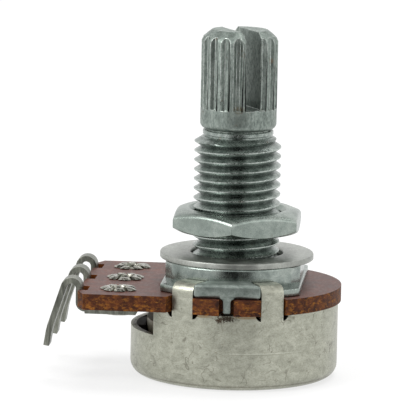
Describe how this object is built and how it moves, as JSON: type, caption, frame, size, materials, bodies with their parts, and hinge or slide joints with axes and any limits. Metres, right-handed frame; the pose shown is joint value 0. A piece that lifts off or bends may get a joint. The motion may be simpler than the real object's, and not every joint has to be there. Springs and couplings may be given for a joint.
{
  "type": "rotary potentiometer",
  "caption": "Panel rotary potentiometer with a splined split shaft, threaded bushing with nut and washer, crimped metal can and side solder terminals.",
  "frame": {"origin": "centre of the can's flat back face", "axes": "+Z along the shaft towards its splined end, -X towards the terminals, the front of the picture looks along +Y"},
  "size_m": [0.0227, 0.0168, 0.0273],
  "materials": {
    "tinned_steel": "dull tinned sheet, scuffed",
    "zinc_casting": "bright zinc plate",
    "washer_steel": "satin nickel plate",
    "nut_steel": "bright zinc plate",
    "shaft_steel": "bright zinc plate",
    "spring_steel": "plain",
    "phenolic": "paper laminate, semi-gloss face",
    "carbon_ink": "matt print",
    "silver_ink": "matt print",
    "rotor_plastic": "moulded",
    "contact_bronze": "bright spring sheet",
    "tinned_rivet": "bright tin plate",
    "tinned_brass": "dull tin plate"
  },
  "bodies": {
    "housing": {"can": "tinned_steel", "bushing_plate": "zinc_casting", "flat_washer": "washer_steel", "wafer": "phenolic", "carbon_track": "carbon_ink", "track_pad_1": "silver_ink", "track_pad_3": "silver_ink", "collector_ring": "silver_ink", "thrust_washer": "spring_steel", "rivet_1": "tinned_rivet", "rivet_2": "tinned_rivet", "rivet_3": "tinned_rivet", "terminal_1": "tinned_brass", "terminal_2": "tinned_brass", "terminal_3": "tinned_brass"},
    "spindle": {"shaft": "shaft_steel", "retaining_ring": "spring_steel", "rotor": "rotor_plastic", "wiper": "contact_bronze"},
    "nut": {"hex_nut": "nut_steel"}
  },
  "joints": [
    {"name": "shaft_turn", "type": "hinge", "parent": "housing", "child": "spindle", "pos_m": [0, 0, 0.0193], "axis": [0, 0, 1], "range_deg": [-150, 150]},
    {"name": "nut_travel", "type": "slide", "parent": "housing", "child": "nut", "axis": [0, 0, 1], "range_m": [-0.0017, 0.0062]}
  ]
}
